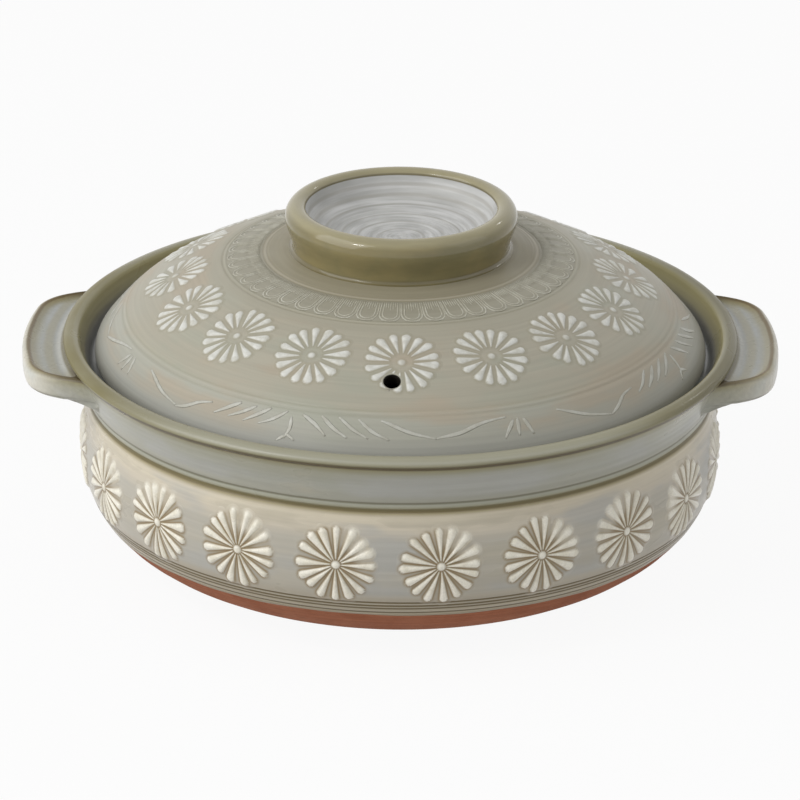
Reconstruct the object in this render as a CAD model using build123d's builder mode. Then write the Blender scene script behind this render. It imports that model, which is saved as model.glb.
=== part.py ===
from build123d import *
import os
from math import cos, radians, sin, sqrt

# A round lidded clay pot with two lug handles, in millimetres.
# The origin is the middle of the foot, on the surface that the pot stands on.
# +X runs through the right handle, -Y is the front with the steam hole, +Z is up.

# Bowl
foot_radius = 62.0
foot_ring_width = 9.0
foot_recess = 1.4
foot_pull = 27.0
belly_radius = 135.6
belly_height = 48.0
belly_turn_height = 5.5
bowl_wall = 7.2
floor_thickness = 9.0
floor_inset = 14.0
shoulder_inset = 3.0
shoulder_rise = 23.2
shoulder_groove = 0.8
shoulder_radius = belly_radius - shoulder_inset
shoulder_height = belly_height + shoulder_rise

# Collar and lip
collar_lean = 12.0
collar_flare = 8.6
collar_rise = 22.4
lip_overhang = 1.4
lip_rise = 4.4
lip_face_rise = 2.3
lip_crest_inset = 3.0
lip_width = 6.4
lip_inner_drop = 0.7
lip_bottom_radius = shoulder_radius + collar_flare
lip_bottom_height = shoulder_height + collar_rise
rim_radius = lip_bottom_radius + lip_overhang
rim_height = lip_bottom_height + lip_rise
lip_face_height = lip_bottom_height + lip_face_rise
lip_crest_radius = rim_radius - lip_crest_inset
lip_inner_radius = rim_radius - lip_width

# Ledge that carries the lid
ledge_depth = 12.0
ledge_side_run = 5.2
ledge_width = 8.2
ledge_edge_round = 1.5
ledge_height = rim_height - ledge_depth
ledge_radius = lip_inner_radius - ledge_side_run
ledge_inner_radius = ledge_radius - ledge_width

# Lug handles, flush with the underside of the lip
handle_reach = 18.6
handle_lift = 0.6
handle_thickness = 9.6
handle_half_width = 43.0
handle_side_spread = 6.0
handle_root_reach = 6.0
handle_flare_width = 7.3
handle_corner_round = 9.0
handle_dish = 1.8
handle_edge_width = 2.6
handle_top_round = 1.6
handle_bottom_round = 4.2
handle_haunch_height = 6.0
handle_haunch_width = 9.0
handle_reach_radius = lip_bottom_radius + handle_reach
handle_top_height = lip_bottom_height + handle_lift

# Foot and crown of the lid
lid_seat_gap = 0.3
lid_side_gap = 3.6
lid_foot_width = 7.6
lid_overhang = 1.8
lid_skirt_rise = 4.0
lid_rise = 44.6
lid_wall = 6.8
lid_foot_radius = ledge_radius - lid_side_gap
lid_foot_height = ledge_height + lid_seat_gap
lid_radius = lid_foot_radius + lid_overhang
lid_radius_height = lid_foot_height + lid_skirt_rise
lid_crown_height = lid_radius_height + lid_rise

# Knob ring on the lid
knob_foot_radius = 46.4
knob_foot_round = 2.4
knob_seat_inset = 2.4
knob_overhang = 2.3
knob_rise = 19.2
knob_flare_share = 0.8
knob_crest_inset = 3.3
knob_lip_width = 8.0
knob_inner_drop = 1.4
knob_dish_depth = 15.4
knob_dish_side = 2.4
knob_dish_share = 0.59
knob_foot_edge = 0.3
knob_radius = knob_foot_radius + knob_overhang
knob_seat_radius = knob_foot_radius - knob_seat_inset

# The dome between the knob and the skirt, as shares of its run outward and of its rise
dome_shares = ((0.155, 0.955), (0.352, 0.877), (0.599, 0.682), (0.845, 0.383), (0.955, 0.159))
rosette_ring_shares = dome_shares[2]
below_ring_shares = dome_shares[3]
inside_place_shares = (0, 0.2, 0.4, 0.6, 0.8, 0.93)

# Steam hole, just outside the middle of the ring of rosettes
steam_hole_radius = 3.35
steam_hole_offset = 8.6
steam_hole_angle = -91.8

# Raised rosettes
petal_count = 16
petal_tip_share = 0.098
petal_root_share = 0.022
slip_thickness = 0.05
pot_rosette_count = 20
pot_rosette_radius = 16.4
pot_rosette_lift = 0.6
pot_rosette_relief = 0.9
pot_rosette_start_angle = -154.8
pot_petal_start_share = 0.13
lid_rosette_count = 16
lid_rosette_radius = 14.8
lid_rosette_relief = 0.7
lid_rosette_start_angle = -157.2
lid_petal_start_share = 0.34

overrun = 5.0


def dome_point(shares):
    """Give a point of the lid's outside, from its shares of the way out and of the way up."""
    out_share, up_share = shares
    return (
        knob_seat_radius + out_share * (lid_radius - knob_seat_radius),
        lid_radius_height + up_share * lid_rise,
    )


def across(radius, sideways):
    """Give how far out a circle about the origin is at a distance sideways."""
    return sqrt(radius**2 - sideways**2)


def bowl_curve(grow=0):
    """Draw the outside of the bowl, from the foot to the shoulder, moved out by grow."""
    lower = Bezier(
        (foot_radius + grow, 0),
        (foot_radius + grow + foot_pull, 0),
        (belly_radius + grow, belly_turn_height),
        (belly_radius + grow, belly_height),
    )
    upper = TangentArc(lower @ 1, (shoulder_radius + grow, shoulder_height), tangent=lower % 1)
    return lower, upper


def pot_outside_curve():
    """Draw the whole outside of the pot, from the foot to the inner edge of the lip."""
    lower, upper = bowl_curve()
    collar_start = (shoulder_radius, shoulder_height + 2 * shoulder_groove)
    Polyline(upper @ 1, (shoulder_radius - shoulder_groove, shoulder_height + shoulder_groove), collar_start)
    collar_direction = (sin(radians(collar_lean)), cos(radians(collar_lean)))
    collar = TangentArc(collar_start, (lip_bottom_radius, lip_bottom_height), tangent=collar_direction)
    lip = Spline(
        collar @ 1,
        (rim_radius, lip_face_height),
        (lip_crest_radius, rim_height),
        (lip_inner_radius, rim_height - lip_inner_drop),
        tangents=[(1, 0), (0, 1), (-1, 0), (-1, -1)],
    )
    return lip


def lid_outside_curve(mode=Mode.ADD):
    """Draw the outside of the lid, from the seat of the knob to the widest point of its skirt."""
    return Spline(
        (knob_seat_radius, lid_crown_height),
        *[dome_point(shares) for shares in dome_shares],
        (lid_radius, lid_radius_height),
        tangents=[(1, 0), (0, -1)],
        mode=mode,
    )


def rosette_outline(radius, start_share):
    """Make a round flower of drop-shaped petals about a bead, joined by a small hub."""
    tip = petal_tip_share * radius
    root = petal_root_share * radius
    start = start_share * radius
    with BuildSketch() as petal:
        with Locations((start, 0)):
            Circle(root)
        with Locations((radius - tip, 0)):
            Circle(tip)
        make_hull()
    with BuildSketch() as flower:
        with PolarLocations(0, petal_count):
            add(petal.sketch)
        Circle(start + root)
    return flower.sketch


# The full outer form of the pot, used to seat the handles on the wall
with BuildPart() as pot_form:
    with BuildSketch(Plane.XZ):
        with BuildLine():
            lip = pot_outside_curve()
            Polyline(lip @ 1, (0, rim_height - lip_inner_drop), (0, 0), (foot_radius, 0))
        make_face()
    revolve(axis=Axis.Z)

# The bowl: a thrown wall with a rolled lip and a ledge for the lid
with BuildPart() as pot_body:
    add(pot_form.part)
    with BuildSketch(Plane.XZ):
        with BuildLine():
            inner_belly_radius = belly_radius - bowl_wall
            floor_radius = foot_radius - floor_inset
            hollow = Polyline(
                (0, floor_thickness),
                (0, rim_height + overrun),
                (lip_inner_radius, rim_height + overrun),
                (lip_inner_radius, rim_height - lip_inner_drop),
                (ledge_radius, ledge_height),
                (ledge_inner_radius, ledge_height),
            )
            side = Bezier(
                (inner_belly_radius, belly_height),
                (inner_belly_radius, belly_turn_height + floor_thickness),
                (floor_radius + foot_pull, floor_thickness),
                (floor_radius, floor_thickness),
            )
            TangentArc(side @ 0, hollow @ 1, tangent=(0, 1))
            Line(side @ 1, hollow @ 0)
        make_face()
    revolve(axis=Axis.Z, mode=Mode.SUBTRACT)
    with BuildSketch():
        Circle(foot_radius - foot_ring_width)
    extrude(amount=foot_recess, mode=Mode.SUBTRACT)
    ledge_edge = pot_body.edges().filter_by(GeomType.CIRCLE).filter_by_position(
        Axis.Z, ledge_height, ledge_height
    ).sort_by(SortBy.RADIUS)[0]
    fillet(ledge_edge, ledge_edge_round)
pot_body.part.label = "pot_body"

# One lug handle on +X: a turned ring section cut to the plan of the lug
with BuildPart() as right_handle:
    with BuildSketch(Plane.XZ) as handle_section:
        handle_bottom = handle_top_height - handle_thickness
        edge_start = handle_reach_radius - handle_edge_width
        dish_middle = (lip_bottom_radius + edge_start) / 2
        haunch_radius = lip_bottom_radius + handle_haunch_width
        with BuildLine():
            dish = ThreePointArc(
                (lip_bottom_radius, handle_top_height),
                (dish_middle, handle_top_height - handle_dish),
                (edge_start, handle_top_height),
            )
            outside = Polyline(
                dish @ 1,
                (handle_reach_radius, handle_top_height),
                (handle_reach_radius, handle_bottom),
                (haunch_radius, handle_bottom),
            )
            haunch = TangentArc(
                outside @ 1,
                (shoulder_radius + shoulder_groove, handle_bottom - handle_haunch_height),
                tangent=(-1, 0),
            )
            Polyline(
                haunch @ 1,
                (belly_radius - bowl_wall, handle_bottom),
                (ledge_radius, handle_top_height),
                dish @ 0,
            )
        make_face()
        top_corner = handle_section.vertices().sort_by_distance((handle_reach_radius, handle_top_height))[0]
        fillet(top_corner, handle_top_round)
        bottom_corner = handle_section.vertices().sort_by_distance((handle_reach_radius, handle_bottom))[0]
        fillet(bottom_corner, handle_bottom_round)
    revolve(axis=Axis.Z)
    with BuildSketch(Plane.XY.offset(handle_top_height + overrun)) as handle_plan:
        corner_y = handle_half_width
        corner_x = across(handle_reach_radius, corner_y)
        root_y = corner_y + handle_side_spread
        root_x = across(lip_bottom_radius, corner_y) + handle_root_reach
        flare_y = root_y + handle_flare_width
        flare_x = across(lip_bottom_radius, flare_y)
        side_direction = (root_x - corner_x, root_y - corner_y)
        flare_direction = (-flare_y, flare_x)
        with BuildLine():
            Line((0, 0), (flare_x, -flare_y))
            Spline(
                (flare_x, -flare_y),
                (root_x, -root_y),
                tangents=[(-flare_direction[0], flare_direction[1]), (-side_direction[0], side_direction[1])],
            )
            Line((root_x, -root_y), (corner_x, -corner_y))
            ThreePointArc((corner_x, -corner_y), (handle_reach_radius, 0), (corner_x, corner_y))
            Line((corner_x, corner_y), (root_x, root_y))
            Spline(
                (root_x, root_y),
                (flare_x, flare_y),
                tangents=[side_direction, flare_direction],
            )
            Line((flare_x, flare_y), (0, 0))
        make_face()
        corners = handle_plan.vertices().sort_by_distance((corner_x, corner_y))[0:1]
        corners += handle_plan.vertices().sort_by_distance((corner_x, -corner_y))[0:1]
        fillet(corners, handle_corner_round)
    extrude(amount=-(handle_thickness + handle_haunch_height + 2 * overrun), mode=Mode.INTERSECT)
    add(pot_form.part, mode=Mode.SUBTRACT)
right_handle.part.label = "right_handle"

# The left handle is the right one turned half round
with BuildPart() as left_handle:
    add(right_handle.part, rotation=(0, 0, 180))
left_handle.part.label = "left_handle"

# The lid: a thrown dome that is one wall thick down to its foot, with a slanted steam hole
with BuildPart() as lid_dome:
    with BuildSketch(Plane.XZ):
        with BuildLine():
            outside = lid_outside_curve()
            inside_points = []
            for place_share in inside_place_shares:
                inward = (outside % place_share).rotate(Axis.Z, -90)
                inside_points.append(outside @ place_share + inward * lid_wall)
            lid_foot_inner_radius = lid_foot_radius - lid_foot_width
            foot_edge = Spline(
                outside @ 1,
                (lid_foot_radius, lid_foot_height),
                tangents=[(0, -1), (-1, 0)],
            )
            Polyline(foot_edge @ 1, (lid_foot_inner_radius, lid_foot_height))
            inside = Spline((lid_foot_inner_radius, lid_foot_height), *reversed(inside_points))
            Polyline(inside @ 1, (0, lid_crown_height - lid_wall), (0, lid_crown_height), outside @ 0)
        make_face()
    revolve(axis=Axis.Z)
    ring_radius, ring_height = dome_point(rosette_ring_shares)
    below_ring_radius, below_ring_height = dome_point(below_ring_shares)
    slope_run = below_ring_radius - ring_radius
    slope_drop = ring_height - below_ring_height
    steam_ring_radius = ring_radius + steam_hole_offset
    steam_hole_height = ring_height - steam_hole_offset * slope_drop / slope_run
    outward = (cos(radians(steam_hole_angle)), sin(radians(steam_hole_angle)))
    steam_plane = Plane(
        origin=(outward[0] * steam_ring_radius, outward[1] * steam_ring_radius, steam_hole_height),
        x_dir=(-outward[1], outward[0], 0),
        z_dir=(outward[0] * slope_drop, outward[1] * slope_drop, slope_run),
    )
    with BuildSketch(steam_plane):
        Circle(steam_hole_radius)
    extrude(amount=lid_wall + overrun, both=True, mode=Mode.SUBTRACT)
lid_dome.part.label = "lid_dome"

# The knob: a flared ring with a dished middle, seated on the crown of the lid
with BuildPart() as lid_knob:
    knob_height = lid_crown_height + knob_rise
    knob_inner_radius = knob_radius - knob_lip_width
    dish_height = knob_height - knob_dish_depth
    edge_height = lid_crown_height + knob_foot_edge
    with BuildSketch(Plane.XZ):
        with BuildLine():
            foot = Polyline(
                (0, lid_crown_height),
                (knob_foot_radius + knob_foot_round, lid_crown_height),
                (knob_foot_radius + knob_foot_round, edge_height),
            )
            foot_fillet = TangentArc(
                foot @ 1,
                (knob_foot_radius, edge_height + knob_foot_round),
                tangent=(-1, 0),
            )
            wall = Spline(
                foot_fillet @ 1,
                (knob_radius, lid_crown_height + knob_flare_share * knob_rise),
                (knob_radius - knob_crest_inset, knob_height),
                (knob_inner_radius, knob_height - knob_inner_drop),
                tangents=[(0, 1), (0, 1), (-1, 0), (-1, -2)],
            )
            dish = Bezier(
                wall @ 1,
                (knob_inner_radius - knob_dish_side, dish_height),
                (knob_inner_radius * knob_dish_share, dish_height),
                (0, dish_height),
            )
            Line(dish @ 1, foot @ 0)
        make_face()
    revolve(axis=Axis.Z)
lid_knob.part.label = "lid_knob"

# One raised rosette of the pot, cut from the thin skin outside the belly
with BuildPart() as pot_rosette:
    with BuildSketch(Plane.XZ):
        with BuildLine():
            lower, upper = bowl_curve(slip_thickness)
            grown_lower, grown_upper = bowl_curve(pot_rosette_relief)
            Line(lower @ 0, grown_lower @ 0)
            Line(upper @ 1, grown_upper @ 1)
        make_face()
    revolve(axis=Axis.Z)
    face_plane = Plane(
        origin=(belly_radius + overrun, 0, belly_height + pot_rosette_lift),
        x_dir=(0, 1, 0),
        z_dir=(1, 0, 0),
    )
    with BuildSketch(face_plane):
        add(rosette_outline(pot_rosette_radius, pot_petal_start_share))
    extrude(amount=-(pot_rosette_radius + overrun), mode=Mode.INTERSECT)

# The band of rosettes round the belly
with BuildPart() as pot_rosettes:
    with PolarLocations(0, pot_rosette_count, start_angle=pot_rosette_start_angle):
        add(pot_rosette.part)
pot_rosettes.part.label = "pot_rosettes"

# One raised rosette of the lid, cut from the thin skin over the dome
with BuildPart() as lid_rosette:
    tilt = Vector(slope_drop, slope_run).normalized()
    with BuildSketch(Plane.XZ):
        with BuildLine():
            surface = lid_outside_curve(mode=Mode.PRIVATE)
            skin = surface.moved(Pos(tilt.X * slip_thickness, tilt.Y * slip_thickness))
            grown_skin = surface.moved(Pos(tilt.X * lid_rosette_relief, tilt.Y * lid_rosette_relief))
            add(skin)
            add(grown_skin)
            Line(skin @ 0, grown_skin @ 0)
            Line(skin @ 1, grown_skin @ 1)
        make_face()
    revolve(axis=Axis.Z)
    face_plane = Plane(
        origin=(
            ring_radius + tilt.X * overrun,
            0,
            ring_height + tilt.Y * overrun,
        ),
        x_dir=(0, 1, 0),
        z_dir=(tilt.X, 0, tilt.Y),
    )
    with BuildSketch(face_plane):
        add(rosette_outline(lid_rosette_radius, lid_petal_start_share))
    extrude(amount=-2 * overrun, mode=Mode.INTERSECT)

# The ring of rosettes round the lid, the front one pierced by the steam hole
with BuildPart() as lid_rosettes:
    with PolarLocations(0, lid_rosette_count, start_angle=lid_rosette_start_angle):
        add(lid_rosette.part)
    with BuildSketch(steam_plane):
        Circle(steam_hole_radius)
    extrude(amount=lid_wall + overrun, both=True, mode=Mode.SUBTRACT)
lid_rosettes.part.label = "lid_rosettes"

os.makedirs("parts", exist_ok=True)
for piece in (pot_body, left_handle, right_handle, pot_rosettes, lid_dome, lid_knob, lid_rosettes):
    export_step(piece.part, f"parts/{piece.part.label}.step")
    box = piece.part.bounding_box()
    print(piece.part.label, len(piece.part.solids()), round(piece.part.volume), box.min, box.max)
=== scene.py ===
import math
import bpy
import numpy as np
from mathutils import Matrix, Vector


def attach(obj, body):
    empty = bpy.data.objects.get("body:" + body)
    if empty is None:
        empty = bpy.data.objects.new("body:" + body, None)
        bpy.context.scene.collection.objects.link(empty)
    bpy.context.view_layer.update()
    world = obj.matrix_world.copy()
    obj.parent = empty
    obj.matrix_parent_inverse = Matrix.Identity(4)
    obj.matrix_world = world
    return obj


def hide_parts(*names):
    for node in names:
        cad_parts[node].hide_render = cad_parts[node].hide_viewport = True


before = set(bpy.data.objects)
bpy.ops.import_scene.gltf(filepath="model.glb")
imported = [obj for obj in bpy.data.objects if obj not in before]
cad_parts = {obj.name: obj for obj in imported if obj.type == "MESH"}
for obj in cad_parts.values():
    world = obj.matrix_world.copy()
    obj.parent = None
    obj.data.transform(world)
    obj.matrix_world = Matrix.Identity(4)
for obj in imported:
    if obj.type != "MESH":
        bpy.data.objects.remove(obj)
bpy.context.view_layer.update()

# A lidded clay pot with slip rosettes, in millimetres until each mesh is made.
# The origin is the middle of the foot; -Y is the front and +Z is up.
METRE = 0.001

# Bowl, collar, lip and ledge, as in the part
FOOT_RADIUS = 62.0
FOOT_RING_WIDTH = 9.0
FOOT_RECESS = 1.4
FOOT_PULL = 27.0
BELLY_RADIUS = 135.6
BELLY_HEIGHT = 48.0
BELLY_TURN_HEIGHT = 5.5
BOWL_WALL = 7.2
FLOOR_THICKNESS = 9.0
FLOOR_RADIUS = 48.0
SHOULDER_RADIUS = 132.6
SHOULDER_HEIGHT = 71.2
SHOULDER_GROOVE = 0.8
COLLAR_LEAN = math.radians(12.0)
LIP_BOTTOM = (141.2, 93.6)
LIP_FACE = (142.5, 95.9)
LIP_CREST = (139.6, 97.95)
LIP_INNER = (136.2, 97.3)
LEDGE_OUTER = (131.0, 86.0)
LEDGE_INNER = (122.8, 86.0)
GLAZE_EDGE_HEIGHT = 24.2
GLAZE_THICKNESS = 0.2
FINE_LINE_HEIGHTS = (26.0, 28.3, 29.7, 31.4)
FINE_LINE_DEPTH = 0.28
FINE_LINE_HALF_WIDTH = 0.55
BAND_LINE_HEIGHT = 68.9
COLLAR_LINE_HEIGHT = 75.2
COLUMNS = 400

# Lid and knob, as in the part
KNOB_SEAT_RADIUS = 44.0
LID_CROWN_HEIGHT = 134.9
LID_SKIRT = (129.2, 90.3)
LID_FOOT = (127.4, 86.3)
LID_FOOT_WIDTH = 7.6
LID_WALL = 6.8
LID_RINGS = (56.2, 58.0, 73.3, 75.0, 115.4, 117.2)
DOME_SHARES = ((0.155, 0.955), (0.352, 0.877), (0.599, 0.682), (0.845, 0.383), (0.955, 0.159))
STEAM_RADIUS = 3.35
STEAM_RING_RADIUS = 103.6
STEAM_ANGLE = math.radians(-91.8)
STEAM_SPOKES = 56
# Radius, and depth from the outer or the inner skin, of the rings that line the steam hole
OUTER_BORE = ((3.98, 0.0), (3.72, 0.05), (3.5, 0.22), (3.38, 0.5), (3.35, 0.9), (3.35, 2.6))
INNER_BORE = ((3.35, 1.2), (3.4, 0.4), (3.6, 0.1), (3.9, 0.0))
KNOB_RADIUS = 48.3
KNOB_FOOT_RADIUS = 45.6
KNOB_FOOT_ROUND = 1.5
KNOB_TOP = 153.9
KNOB_CREST_RADIUS = 44.9
KNOB_INNER = (40.2, 152.5)
KNOB_DISH_HEIGHT = 138.7
KNOB_COLUMNS = 320

# Rosettes and drawn lines
PETALS = 16
ROSETTE_SPOKES = 176
ROOT_SHARE = 0.22
POT_ROSETTES = 20
POT_ROSETTE_RADIUS = 16.9
POT_ROSETTE_HEIGHT = 48.6
POT_ROSETTE_START = math.radians(-154.8)
POT_ROSETTE_MARGIN = 3.4
POT_ROSETTE_RINGS = 26
POT_PETAL_WIDTH = 1.8
POT_PETAL_START = 0.14
POT_UNEVEN = 0.06
POT_BEAD_RADIUS = 1.6
POT_RELIEF = 0.99
LID_ROSETTES = 16
LID_ROSETTE_RADIUS = 15.6
LID_ROSETTE_RING = 95.0
LID_ROSETTE_START = math.radians(-157.2)
LID_ROSETTE_MARGIN = 2.9
LID_ROSETTE_RINGS = 27
LID_PETAL_WIDTH = 1.9
LID_PETAL_START = 0.35
LID_UNEVEN = 0.045
LID_BEAD_RADIUS = 1.3
LID_RELIEF = 0.56
LAPPETS = 47
LAPPET_TOP = 59.3
LAPPET_BOTTOM = 72.9
GRASS_REPEATS = 4
GRASS_STEM = -21.4

# Handles
HANDLE_REACH = 159.75
HANDLE_TOP = 94.2
HANDLE_THICKNESS = 10.4
HANDLE_HALF_WIDTH = 43.0
HANDLE_ROOT = (142.0, 49.0)
HANDLE_FLARE_HALF_WIDTH = 56.3
HANDLE_CORNER = 25.0
HANDLE_DISH = 1.8
HANDLE_DISH_RADII = (140.6, 145.5)
HANDLE_FLARE_SINK = 0.8
HANDLE_TOP_ROUND = 2.6
HANDLE_BOTTOM_ROUND = 3.2
# Radii inside the wall where the underside and the top of a lug end
HANDLE_ENDS = (131.6, 137.2)
HAUNCH_OUTER = 150.2
HAUNCH_INNER = 133.4
HAUNCH_DROP = 6.0

TURN = 2 * math.pi
rng = np.random.default_rng(7)


# Curves and meshes

def smooth(low, high, value):
    """Rise smoothly from 0 at low to 1 at high."""
    share = np.clip((np.asarray(value, float) - low) / (high - low), 0, 1)
    return share * share * (3 - 2 * share)


def bump(centre, half_width, value):
    """Give a rounded hill of height 1 about a centre."""
    return smooth(half_width, 0, np.abs(np.asarray(value, float) - centre))


def unit(vectors):
    """Vectors at length 1."""
    vectors = np.array(vectors, float)
    return vectors / np.linalg.norm(vectors, axis=-1, keepdims=True)


def polar(radius, angle, height=None):
    """Points about the Z axis, flat or at a height."""
    parts = np.broadcast_arrays(radius * np.cos(angle), radius * np.sin(angle), 0.0 if height is None else height)
    return np.stack(parts[:2] if height is None else parts, axis=-1)


def run_along(line):
    """Length from the start of a line to each of its points."""
    return np.concatenate([[0], np.cumsum(np.linalg.norm(np.diff(line, axis=0), axis=1))])


def resample(line, step):
    """Give points about a step apart along a line."""
    line = np.array(line, float)
    run = run_along(line)
    places = np.linspace(0, run[-1], max(2, int(round(run[-1] / step)) + 1))
    return np.stack([np.interp(places, run, part) for part in line.T], axis=1)


def normals_of(line):
    """Give the right-hand normals of a line in (radius, height)."""
    direction = unit(np.gradient(line, axis=0))
    return np.stack([direction[:, 1], -direction[:, 0]], axis=1)


def bezier(points, count):
    """Sample a Bezier curve of four points."""
    t = np.linspace(0, 1, count)[:, None]
    a, b, c, d = np.array(points, float)
    return (1 - t) ** 3 * a + 3 * (1 - t) ** 2 * t * b + 3 * (1 - t) * t**2 * c + t**3 * d


def tangent_arc(start, end, direction, count):
    """Sample the arc from start to end that leaves start along a direction."""
    start, chord, direction = np.array(start, float), np.subtract(end, start), unit(direction)
    normal = np.array([-direction[1], direction[0]])
    across = chord @ normal
    arm = -(chord @ chord) / (2 * across) * normal
    turns = math.atan2(arm[1], arm[0]) + np.linspace(0, 2 * math.atan2(across, chord @ direction), count)
    return start - arm + polar(np.hypot(*arm), turns)


def spline(points, start_direction, end_direction, count):
    """Sample a smooth cubic through points, with its end directions given."""
    points = np.array(points, float)
    size = len(points)
    knots = run_along(points)
    steps = np.diff(knots)
    climbs = np.diff(points, axis=0) / steps[:, None]
    matrix, target = np.eye(size), np.zeros((size, 2))
    target[0], target[-1] = unit(start_direction), unit(end_direction)
    for i in range(1, size - 1):
        before, after = steps[i - 1], steps[i]
        matrix[i, i - 1:i + 2] = (after, 2 * (before + after), before)
        target[i] = 3 * (after * climbs[i - 1] + before * climbs[i])
    slopes = np.linalg.solve(matrix, target)
    places = np.linspace(0, knots[-1], count)
    span = np.clip(np.searchsorted(knots, places, side="right") - 1, 0, size - 2)
    width = steps[span][:, None]
    t = (places - knots[span])[:, None] / width
    return (
        (2 * t**3 - 3 * t**2 + 1) * points[span] + (t**3 - 2 * t**2 + t) * width * slopes[span]
        + (3 * t**2 - 2 * t**3) * points[span + 1] + (t**3 - t**2) * width * slopes[span + 1]
    )


def add_to_scene(name, data):
    """Put a new object in the scene."""
    made = bpy.data.objects.new(name, data)
    bpy.context.scene.collection.objects.link(made)
    return made


def make_object(name, points, faces, masks):
    """Make a smooth mesh object from points in millimetres, faces, and point masks.

    Faces with a corner in the mask "hidden" close the piece out of sight and are flat, so that they leave the
    shading of its skin alone. Faces whose corners are all in the mask "bare" get the second material.
    """
    mesh = bpy.data.meshes.new(name)
    mesh.from_pydata(np.asarray(points, np.float32) * METRE, [], faces)
    mesh.validate()
    marked = {"hidden": (any, "use_smooth"), "bare": (all, "material_index")}
    mesh.polygons.foreach_set("use_smooth", np.ones(len(mesh.polygons), bool))
    for mask, values in masks.items():
        if mask in marked:
            test, setting = marked[mask]
            for polygon in mesh.polygons:
                inside = test(values[corner] for corner in polygon.vertices)
                setattr(polygon, setting, not inside if mask == "hidden" else int(inside))
        else:
            layer = mesh.attributes.new(mask, "FLOAT", "POINT")
            layer.data.foreach_set("value", np.asarray(values, np.float32))
    return add_to_scene(name, mesh)


def grid_faces(rows, columns, closed=True):
    """Give the quads between rows of columns points."""
    corner = np.arange(rows - 1)[:, None] * columns
    column = np.arange(columns if closed else columns - 1)[None, :]
    following = (column + 1) % columns
    quads = (corner + column, corner + following, corner + columns + following, corner + columns + column)
    return np.stack(quads, axis=-1).reshape(-1, 4).tolist()


def open_edges(faces):
    """Give the directed edges of faces that have no face on their other side."""
    edges = {(a, b) for face in faces for a, b in zip(face, face[1:] + face[:1])}
    return [(a, b) for a, b in sorted(edges) if (b, a) not in edges]


def capped_revolution(profile, columns, row_masks):
    """Turn a line whose ends lie on the axis about Z, with fans at both ends and a mask value per row."""
    inner = profile[1:-1]
    ring = polar(inner[:, :1], np.arange(columns) * TURN / columns, inner[:, 1:])
    low = len(inner) * columns
    faces = grid_faces(len(inner), columns)
    for j in range(columns):
        following = (j + 1) % columns
        faces.append([low, following, j])
        faces.append([low + 1, low - columns + j, low - columns + following])
    masks = {
        name: np.concatenate([np.repeat(values[1:-1], columns), values[[0, -1]]])
        for name, values in row_masks.items()
    }
    return np.concatenate([ring.reshape(-1, 3), [(0, 0, profile[0, 1]), (0, 0, profile[-1, 1])]]), faces, masks


# Profiles of the pot and the lid

def pot_outside():
    """The outside of the pot in smooth stretches, from the foot to the inner edge of the lip."""
    lower = bezier((
        (FOOT_RADIUS, 0), (FOOT_RADIUS + FOOT_PULL, 0),
        (BELLY_RADIUS, BELLY_TURN_HEIGHT), (BELLY_RADIUS, BELLY_HEIGHT),
    ), 400)
    upper = tangent_arc((BELLY_RADIUS, BELLY_HEIGHT), (SHOULDER_RADIUS, SHOULDER_HEIGHT), (0, 1), 60)
    collar_start = (SHOULDER_RADIUS, SHOULDER_HEIGHT + 2 * SHOULDER_GROOVE)
    collar = tangent_arc(collar_start, LIP_BOTTOM, (math.sin(COLLAR_LEAN), math.cos(COLLAR_LEAN)), 60)
    lip = spline((LIP_BOTTOM, LIP_FACE, LIP_CREST, LIP_INNER), (1, 0.4), (-1, -0.9), 60)
    return np.concatenate([lower, upper[1:]]), collar, lip


def lid_outside():
    """The outside of the lid from the seat of the knob to the widest point of its skirt."""
    places = [
        (KNOB_SEAT_RADIUS + out_share * (LID_SKIRT[0] - KNOB_SEAT_RADIUS),
         LID_SKIRT[1] + up_share * (LID_CROWN_HEIGHT - LID_SKIRT[1]))
        for out_share, up_share in ((0, 1), *DOME_SHARES, (1, 0))
    ]
    return spline(places, (1, 0), (0, -1), 1200)


WALL, COLLAR, LIP = pot_outside()
DOME = lid_outside()


def wall_radius(height):
    """Radius of the pot's outside at a height below the lip."""
    whole = np.concatenate([WALL, COLLAR])
    return np.interp(height, whole[:, 1], whole[:, 0])


def dome_height(radius):
    """Height of the lid's outside at a radius."""
    return np.interp(radius, DOME[:, 0], DOME[:, 1])


# The pot

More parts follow.
